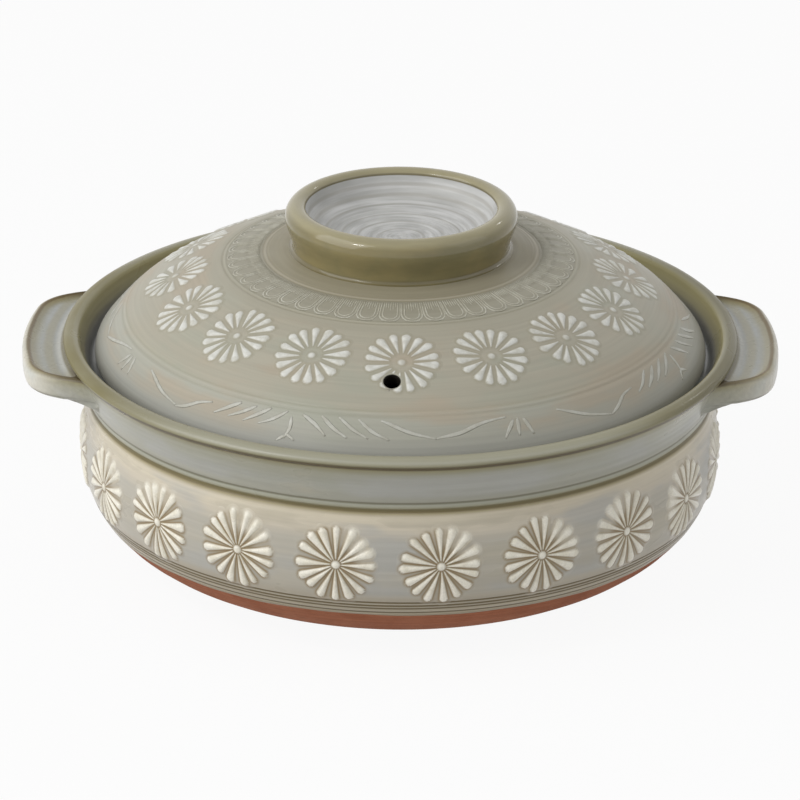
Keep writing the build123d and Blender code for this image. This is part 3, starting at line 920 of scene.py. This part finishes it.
class Wires(Nodes):
    """A material's nodes, with the place in millimetres, its parts and the radius from the axis."""

    def __init__(self, name):
        self.material = bpy.data.materials.new(name)
        self.material.use_nodes = True
        super().__init__(self.material.node_tree)
        place = self.add("ShaderNodeTexCoord", {}, "Object")
        self.place = self.add("ShaderNodeVectorMath", {0: place, "Scale": 1 / METRE}, operation="SCALE")
        parts = self.add("ShaderNodeSeparateXYZ", {0: self.place}).socket.node.outputs
        self.x, self.y, self.z = (Flow(self, part) for part in parts)
        self.radius = self.math("SQRT", self.x * self.x + self.y * self.y, 0.0)

    def attribute(self, name):
        return self.add("ShaderNodeAttribute", {}, "Fac", attribute_name=name)

    def noise(self, scale, detail=3.0, place=None):
        inputs = {"Vector": place or self.place, "Scale": scale, "Detail": detail, "Roughness": 0.55}
        return self.add("ShaderNodeTexNoise", inputs, "Fac")

    def streaks(self, along, around_mm, along_mm, detail=3.0):
        """Noise drawn out round the wheel: about around_mm long and along_mm wide."""
        reach = self.math("DIVIDE", STREAK_RADIUS / around_mm, self.radius)
        place = {0: self.x * reach, 1: self.y * reach, 2: along * (1 / along_mm)}
        return self.noise(1.0, detail, self.add("ShaderNodeCombineXYZ", place))

    def slant(self):
        """A length that changes along the walls and over the lips alike."""
        return self.z * 0.77 - self.radius * 0.64

    def ramp(self, value, stops):
        """Colour along a length, from (length, colour) stops in millimetres."""
        low, high = stops[0][0], stops[-1][0]
        share = self.add("ShaderNodeMapRange", {"Value": value, "From Min": low, "From Max": high}, "Result")
        colour = self.add("ShaderNodeValToRGB", {"Fac": share}, "Color")
        elements = colour.socket.node.color_ramp.elements
        elements[0].color, elements[1].color = (*stops[0][1], 1), (*stops[-1][1], 1)
        for length, tint in stops[1:-1]:
            elements.new((length - low) / (high - low)).color = (*tint, 1)
        return colour

    def finish(self, colour, roughness, relief, strength, coat=0.0, coat_roughness=0.15, specular=0.5):
        """Close the material with a shader whose relief comes from a noise."""
        normal = self.add("ShaderNodeBump", {"Strength": strength, "Distance": BUMP_DISTANCE, "Height": relief})
        shader = self.add("ShaderNodeBsdfPrincipled", {
            "Base Color": colour, "Roughness": roughness, "Normal": normal,
            "Specular IOR Level": specular, "Coat Weight": coat, "Coat Roughness": coat_roughness,
        })
        self.add("ShaderNodeOutputMaterial", {"Surface": shader})
        return self.material


# Colours, all linear
OLIVE = (0.15, 0.115, 0.055)
BLUE_GREY = (0.455, 0.455, 0.43)
WARM_GREY = (0.50, 0.455, 0.35)
LIP_OCHRE = (0.19, 0.16, 0.05)
# the next colour is the lip's ochre darkened with painted shade on its right side
LIP_OCHRE_PAINTED_SHADE = (0.11, 0.095, 0.035)
CLAY, PALE_CLAY, GRIT = (0.345, 0.125, 0.064), (0.42, 0.168, 0.092), (0.45, 0.27, 0.19)
# the pool colours are pooled glaze darkened with painted shade in the gaps between the petals
POT_SLIP, POT_SLIP_DUSTY, POT_POOL_AND_SHADE = (0.93, 0.89, 0.77), (0.82, 0.77, 0.63), (0.235, 0.155, 0.05)
LID_SLIP, LID_SLIP_DUSTY, LID_POOL_AND_SHADE = (0.76, 0.76, 0.71), (0.62, 0.61, 0.54), (0.29, 0.26, 0.17)
GRASS_SLIP, GRASS_SLIP_DUSTY = (0.56, 0.56, 0.50), (0.47, 0.46, 0.39)
LAPPET_SLIP, LAPPET_SLIP_DUSTY = (0.58, 0.57, 0.48), (0.46, 0.44, 0.35)
LID_PINK, LID_GREEN, LID_INSIDE = (0.465, 0.40, 0.305), (0.40, 0.41, 0.33), (0.35, 0.36, 0.33)
# painted shade deep in the steam hole
BORE_PAINTED_SHADE = (0.018, 0.016, 0.012)
KNOB_OCHRE, KNOB_OLIVE = (0.275, 0.23, 0.105), (0.22, 0.195, 0.095)
# the knob's foot colour is painted shade where the knob meets the lid
KNOB_LIP, KNOB_FOOT_SHADE, KNOB_LINE = (0.36, 0.32, 0.185), (0.13, 0.11, 0.05), (0.13, 0.11, 0.055)
DISH_GREY, DISH_WHITE, DISH_RING = (0.52, 0.52, 0.50), (0.65, 0.65, 0.64), (0.33, 0.31, 0.26)
LUG_TOP, LUG_TOP_PALE, LUG_RIM = (0.36, 0.37, 0.34), (0.39, 0.405, 0.40), (0.36, 0.34, 0.24)
LUG_SIDE, LUG_SIDE_GREY, LUG_HALO = (0.69, 0.66, 0.57), (0.66, 0.66, 0.60), (0.31, 0.255, 0.115)
LUG_LINE, LUG_UNDER, LUG_LOW_LINE = (0.15, 0.10, 0.032), (0.30, 0.27, 0.17), (0.12, 0.095, 0.05)
# the second colour here is a painted highlight on the fillet of the lug by the lip
LUG_OCHRE, LUG_FILLET_HIGHLIGHT, LUG_SEAM = (0.31, 0.28, 0.17), (0.50, 0.50, 0.45), (0.15, 0.125, 0.05)

# Colours by height on the pot, outside and inside, and by radius on the lid
WALL_STOPS = (
    (20.0, (0.22, 0.17, 0.09)), (24.6, (0.26, 0.21, 0.12)), (25.2, (0.45, 0.39, 0.28)),
    (32.6, (0.46, 0.41, 0.32)), (36.0, (0.49, 0.455, 0.375)), (58.0, (0.51, 0.48, 0.405)),
    (62.5, (0.63, 0.57, 0.46)), (69.2, (0.69, 0.62, 0.48)), (70.5, (0.42, 0.36, 0.22)),
    (71.3, (0.17, 0.135, 0.055)), (72.5, (0.21, 0.18, 0.085)), (73.3, (0.38, 0.37, 0.27)),
    (74.5, (0.43, 0.43, 0.35)), (75.0, (0.20, 0.19, 0.13)), (75.5, (0.20, 0.19, 0.13)),
    (76.1, (0.40, 0.39, 0.32)), (83.0, (0.41, 0.41, 0.35)), (90.0, (0.38, 0.37, 0.28)),
    # from 93.5 to 94.7 mm: painted shade under the overhanging lip, over olive glaze
    (92.7, (0.30, 0.27, 0.15)), (93.5, (0.085, 0.06, 0.02)), (94.7, (0.09, 0.065, 0.022)),
    (95.6, (0.33, 0.31, 0.20)), (96.8, (0.42, 0.41, 0.325)), (98.0, (0.35, 0.335, 0.235)),
)
BOWL_STOPS = (
    (8.0, (0.36, 0.37, 0.35)), (85.0, (0.34, 0.35, 0.35)), (89.0, (0.30, 0.29, 0.26)),
    (92.0, (0.34, 0.31, 0.19)), (96.5, (0.34, 0.30, 0.14)), (97.5, (0.31, 0.275, 0.125)),
    (98.0, (0.33, 0.31, 0.205)),
)
LID_STOPS = (
    (40.0, (0.34, 0.31, 0.22)), (55.4, (0.33, 0.30, 0.215)), (56.2, (0.29, 0.26, 0.18)),
    (57.1, (0.44, 0.405, 0.31)), (58.0, (0.30, 0.27, 0.19)), (58.8, (0.345, 0.325, 0.25)),
    (72.6, (0.36, 0.34, 0.265)), (73.3, (0.33, 0.31, 0.23)), (74.1, (0.44, 0.42, 0.33)),
    (75.0, (0.34, 0.315, 0.235)), (75.9, (0.41, 0.385, 0.30)), (95.0, (0.45, 0.42, 0.335)),
    (114.6, (0.44, 0.415, 0.33)), (115.4, (0.39, 0.37, 0.285)), (116.3, (0.47, 0.455, 0.375)),
    (117.2, (0.395, 0.385, 0.31)), (118.0, (0.44, 0.435, 0.365)), (123.5, (0.42, 0.415, 0.355)),
    (127.0, (0.37, 0.37, 0.33)), (129.2, (0.34, 0.34, 0.31)),
)
# Radius and half width of the grey wheel rings in the dish of the knob
DISH_RINGS = ((38.9, 0.5), (36.2, 0.9), (31.9, 0.8), (24.9, 0.7), (18.2, 0.7), (9.5, 0.8))


def pot_wall_colour(wires):
    """The glazed outside of the bowl, and the noises that roughen it."""
    x, z = wires.x, wires.z
    patch = wires.streaks(wires.slant(), 55.0, 13.0)
    drag = wires.streaks(wires.slant(), 95.0, 1.4)
    glaze = z.step(33, 37) * z.step(70.5, 66) + z.step(76.5, 79.5) * z.step(92, 87)
    # the glaze ran off the lip towards the handles and left it ochre there; on the right, away from the light, painted
    # shade darkens it further
    on_lip = z.step(95.0, 96.2) * abs(x).step(70, 132)
    colour = wires.ramp(z + (patch - 0.5) * 0.9, WALL_STOPS).under(
        (patch.step(0.47, 0.64) * glaze * 0.62, BLUE_GREY),
        (patch.step(0.46, 0.33) * glaze * 0.55, WARM_GREY),
    ).shade(drag, 0.28, 0.74, 0.95, 1.04).under(
        (on_lip * patch.step(0.3, 0.6, 0.65, 0.95), LIP_OCHRE),
        (on_lip * x.step(90, 135, 0.0, 0.7), LIP_OCHRE_PAINTED_SHADE),
        *((z.band(height, 0.7), OLIVE) for height in FINE_LINE_HEIGHTS),
    )
    return colour, drag, patch


def pot_glaze():
    """Grey-green glaze over the bowl, olive where it pools in grooves, blue-grey inside."""
    wires = Wires("pot_glaze_finish")
    colour, drag, patch = pot_wall_colour(wires)
    inside = wires.ramp(wires.z, BOWL_STOPS).shade(drag, 0.3, 0.72, 0.9, 1.08)
    colour = colour.under((wires.attribute("inward"), inside))
    return wires.finish(colour, patch.step(0.3, 0.7, 0.24, 0.40), drag, 0.35, coat=0.08, specular=0.33)


def bare_clay(name):
    """Matt red clay with grit and faint wheel lines."""
    wires = Wires(name)
    drag = wires.streaks(wires.z + wires.radius, 70.0, 1.3, 4.0)
    grit = wires.noise(2.2, 2.0)
    colour = wires.mix(wires.noise(0.05, 4.0).step(0.35, 0.7), CLAY, PALE_CLAY).shade(drag, 0.3, 0.72, 0.88, 1.1)
    colour = colour.under((grit.step(0.66, 0.78, 0.0, 0.35), GRIT))
    return wires.finish(colour, 0.85, drag + grit * 0.6, 0.5, specular=0.25)


def slip_over(wires, ground, slip, pool, pool_and_shade_share):
    """Petals of slip with glaze pooled beside them and painted shade there, on the colour of the wall."""
    return ground.under((wires.attribute("pool") * pool_and_shade_share, pool), (wires.attribute("slip"), slip))


def pot_slip():
    """Cream slip petals with ochre glaze pooled beside them and painted shade there, on the colour of the belly."""
    wires = Wires("pot_slip_finish")
    cloud = wires.noise(0.22, 4.0)
    slip = wires.mix(cloud.step(0.38, 0.7), POT_SLIP, POT_SLIP_DUSTY).shade(wires.noise(1.4), 0.3, 0.7, 0.93, 1.05)
    colour = slip_over(wires, pot_wall_colour(wires)[0], slip, POT_POOL_AND_SHADE, 0.95)
    return wires.finish(colour, 0.36, cloud, 0.25, coat=0.3)


def lid_wall_colour(wires):
    """The glazed outside of the lid, and the noises that roughen it."""
    radius = wires.radius
    section = (radius - wires.z) * 0.71
    patch = wires.streaks(section, 70.0, 18.0)
    drag = wires.streaks(section, 120.0, 1.6)
    field = radius.step(76, 84) * radius.step(128, 122)
    colour = wires.ramp(radius, LID_STOPS).under(
        (patch.step(0.5, 0.64) * field * 0.7, LID_PINK),
        (patch.step(0.47, 0.34) * field * 0.5, LID_GREEN),
    ).shade(drag, 0.28, 0.74, 0.95, 1.04)
    return colour, drag, patch


def lid_glaze():
    """Greige glaze over the lid with fine wheel lines, blue-grey inside, and painted shade deep in the steam hole."""
    wires = Wires("lid_glaze_finish")
    colour, drag, patch = lid_wall_colour(wires)
    inside = wires.shade(LID_INSIDE, drag.step(0.3, 0.72, 0.9, 1.08))
    colour = colour.under((wires.attribute("inward"), inside), (wires.attribute("bore"), BORE_PAINTED_SHADE))
    return wires.finish(colour, patch.step(0.3, 0.7, 0.36, 0.50), drag, 0.35, specular=0.3)


def lid_slip():
    """White slip petals with glaze pooled beside them and painted shade there, on the colour of the lid."""
    wires = Wires("lid_slip_finish")
    cloud = wires.noise(0.3, 4.0)
    slip = wires.mix(cloud.step(0.35, 0.7), LID_SLIP, LID_SLIP_DUSTY)
    colour = slip_over(wires, lid_wall_colour(wires)[0], slip, LID_POOL_AND_SHADE, 0.4)
    return wires.finish(colour, 0.42, cloud, 0.25, specular=0.35)


def brushed_slip(name, colour, dusty):
    """Thin slip under the glaze, uneven in strength."""
    wires = Wires(name)
    cloud = wires.noise(0.25, 4.0)
    colour = wires.mix(cloud.step(0.32, 0.66), colour, dusty)
    return wires.finish(colour, 0.42, cloud, 0.2, coat=0.1, coat_roughness=0.3)


def knob_glaze():
    """Glossy ochre-olive glaze, with white brushed slip and darker wheel rings in the dish."""
    wires = Wires("knob_glaze_finish")
    z, radius = wires.z, wires.radius
    drag = wires.streaks(wires.slant(), 60.0, 3.0)
    rings = wires.streaks(radius, 150.0, 1.5, 5.0)
    # painted shade darkens the knob's foot where it meets the lid
    wall = wires.mix(wires.noise(0.035).step(0.38, 0.66), KNOB_OCHRE, KNOB_OLIVE).under(
        (z.step(150.5, 153.2), KNOB_LIP), (z.step(136.8, 135.6, 0.0, 0.6), KNOB_FOOT_SHADE),
    ).shade(drag, 0.3, 0.72, 0.93, 1.06)
    white = wires.mix(rings.step(0.38, 0.62), DISH_GREY, DISH_WHITE)
    white = white.shade(wires.streaks(radius, 110.0, 5.0, 2.0), 0.32, 0.68, 0.86, 1.06)
    white = white.under(*((radius.band(ring, half) * 0.4, DISH_RING) for ring, half in DISH_RINGS))
    in_dish = radius.step(42.0, 41.5)
    edge = z.step(152.0, 151.5) * in_dish
    colour = wall.under((z.band(152.1, 0.8) * in_dish * 0.7, KNOB_LINE), (edge, white))
    return wires.finish(colour, edge.step(0.0, 1.0, 0.09, 0.5), drag.under((edge, rings)), 0.15)


def handle_glaze():
    """Grey glaze, broken to ochre along the lug's edges, with a brown line where the top turns down and a painted
    highlight on the fillet by the lip.
    """
    wires = Wires("handle_glaze_finish")
    radius = wires.radius
    cloud = wires.noise(0.045, 4.0)
    fine = wires.noise(0.5)
    edge_run = wires.attribute("edge_run")
    wavy = edge_run + (cloud - 0.5) * 1.6
    on_top = edge_run.step(1.5, 3.5)
    side = wires.mix(cloud.step(0.42, 0.62), LUG_SIDE, LUG_SIDE_GREY)
    colour = wires.mix(cloud.step(0.42, 0.62), LUG_TOP, LUG_TOP_PALE).under(
        (wavy.step(7.0, 2.2, 0.0, 0.75), LUG_RIM),
        (wavy.step(0.2, -1.6), side),
        (abs(wavy - 0.4).step(4.2, 1.2) * abs(wires.y).step(22, 40, 0.35, 0.8), LUG_HALO),
        (wavy.band(0.2, 1.5) * 0.9, LUG_LINE),
        (edge_run.step(-9.0, -12.0, 0.0, 0.6), LUG_UNDER),
        ((edge_run + cloud * 0.6).band(-10.4, 0.9) * 0.75, LUG_LOW_LINE),
        (radius.band(148.6, 3.2) * on_top * 0.6, LUG_OCHRE),
        # a pale band on the fillet by the lip is a painted highlight
        (radius.band(144.0, 2.4) * on_top * 0.75, LUG_FILLET_HIGHLIGHT),
        (radius.band(142.6, 1.5) * on_top * 0.85, LUG_SEAM),
        (wires.attribute("merging"), pot_wall_colour(wires)[0]),
    ).shade(fine, 0.3, 0.7, 0.95, 1.05)
    return wires.finish(colour, cloud.step(0.3, 0.7, 0.24, 0.38), fine, 0.12, coat=0.05, specular=0.3)


handle_finish = handle_glaze()
grass_finish = brushed_slip("grass_slip_finish", GRASS_SLIP, GRASS_SLIP_DUSTY)
lappet_finish = brushed_slip("lappet_slip_finish", LAPPET_SLIP, LAPPET_SLIP_DUSTY)
PIECES = (
    (build_pot_body(), "pot", "pot_body", "pot_glaze", (pot_glaze(), bare_clay("bare_clay_pot"))),
    (build_pot_rosettes(), "pot", "pot_rosettes", "cream_slip", (pot_slip(),)),
    (build_handle("left_lug", True), "pot", "left_handle", "handle_glaze", (handle_finish,)),
    (build_handle("right_lug", False), "pot", "right_handle", "handle_glaze", (handle_finish,)),
    (build_lid_dome(), "lid", "lid_dome", "lid_glaze", (lid_glaze(), bare_clay("bare_clay_lid"))),
    (build_lid_rosettes(), "lid", "lid_rosettes", "cream_slip", (lid_slip(),)),
    (build_knob(), "lid", "lid_knob", "knob_glaze", (knob_glaze(),)),
    (build_grass_strokes(), "lid", None, "cream_slip", (grass_finish,)),
    (build_lappet_band(), "lid", None, "cream_slip", (lappet_finish,)),
)
for piece, body, node, slot, finishes in PIECES:
    for finish in finishes:
        piece.data.materials.append(finish)
    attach(piece, body)
    if node:
        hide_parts(node)


# Camera, floor and light

CAMERA_LENS = 212.5
CAMERA_SENSOR_WIDTH = 36.0
CAMERA_DISTANCE = 2.0
CAMERA_TARGET_HEIGHT = 0.093
CAMERA_ELEVATION = math.radians(22.0)
CAMERA_TILT = math.radians(0.752)
CAMERA_ROLL = math.radians(0.38)
SKY_CENTRE_HEIGHT = 0.08
LIGHT_AIM = Vector((0.0, 0.0, 0.07))
WORLD_LIGHT = 0.46
FLOOR_HALF = 6.0
FLOOR_COLOUR = (0.8, 0.8, 0.8)
FLOOR_WHITE_SHARE = 0.93
WHITE = (1, 1, 1)

camera_data = bpy.data.cameras.new("camera")
camera_data.lens = CAMERA_LENS
camera_data.sensor_width = CAMERA_SENSOR_WIDTH
camera = add_to_scene("camera", camera_data)
camera.location = (
    0.0,
    -CAMERA_DISTANCE * math.cos(CAMERA_ELEVATION),
    CAMERA_TARGET_HEIGHT + CAMERA_DISTANCE * math.sin(CAMERA_ELEVATION),
)
pitch = math.pi / 2 - CAMERA_ELEVATION - CAMERA_TILT
camera.rotation_euler = (Matrix.Rotation(pitch, 3, "X") @ Matrix.Rotation(CAMERA_ROLL, 3, "Z")).to_euler()
bpy.context.scene.camera = camera


def add_softbox(name, azimuth, elevation, distance, size, power):
    """An area light that faces the pot, at an azimuth from the camera, to the right, and an elevation in degrees."""
    turn, rise = math.radians(azimuth), math.radians(elevation)
    data = bpy.data.lights.new(name, "AREA")
    data.shape = "RECTANGLE"
    data.size, data.size_y = size
    data.energy = power
    lamp = add_to_scene(name, data)
    lamp.location = (
        distance * math.cos(rise) * math.sin(turn),
        -distance * math.cos(rise) * math.cos(turn),
        distance * math.sin(rise) + SKY_CENTRE_HEIGHT,
    )
    lamp.rotation_euler = (LIGHT_AIM - lamp.location).to_track_quat("-Z", "Y").to_euler()


add_softbox("left_softbox", -68, 33, 1.9, (1.7, 1.7), 18.0)
add_softbox("front_strip", -50, 45, 1.4, (0.22, 0.05), 1.5)
add_softbox("right_softbox", 75, 30, 1.9, (1.2, 1.2), 2.0)
add_softbox("back_right_lamp", 142, 35, 1.4, (0.1, 0.1), 0.25)


def show_white(nodes, plain, glow, share, output):
    """Show white to rays that see the background, mirror it or pass to it, and the plain shader to all others."""
    rays = nodes.add("ShaderNodeLightPath", {}).socket.node.outputs
    seen, mirrored, passed = (Flow(nodes, rays[f"Is {kind} Ray"]) for kind in ("Camera", "Glossy", "Transmission"))
    shown = nodes.math("MAXIMUM", nodes.math("MAXIMUM", seen, mirrored), passed) * share
    white = nodes.add(glow, {"Color": WHITE, "Strength": 1.0})
    nodes.add(output, {"Surface": nodes.add("ShaderNodeMixShader", {0: shown, 1: plain, 2: white})})


world = bpy.data.worlds.new("world")
bpy.context.scene.world = world
world.use_nodes = True
sky = Nodes(world.node_tree)
lit = sky.add("ShaderNodeBackground", {"Color": WHITE, "Strength": WORLD_LIGHT})
show_white(sky, lit, "ShaderNodeBackground", 1.0, "ShaderNodeOutputWorld")

floor_mesh = bpy.data.meshes.new("floor")
corners = [(x * FLOOR_HALF, y * FLOOR_HALF, 0) for x, y in ((-1, -1), (1, -1), (1, 1), (-1, 1))]
floor_mesh.from_pydata(corners, [], [(0, 1, 2, 3)])
floor = add_to_scene("floor", floor_mesh)
floor_white = bpy.data.materials.new("floor_white")
floor_white.use_nodes = True
paper = Nodes(floor_white.node_tree)
matt = paper.add("ShaderNodeBsdfDiffuse", {"Color": FLOOR_COLOUR})
show_white(paper, matt, "ShaderNodeEmission", FLOOR_WHITE_SHARE, "ShaderNodeOutputMaterial")
floor_mesh.materials.append(floor_white)

bpy.context.scene.view_settings.view_transform = "Standard"
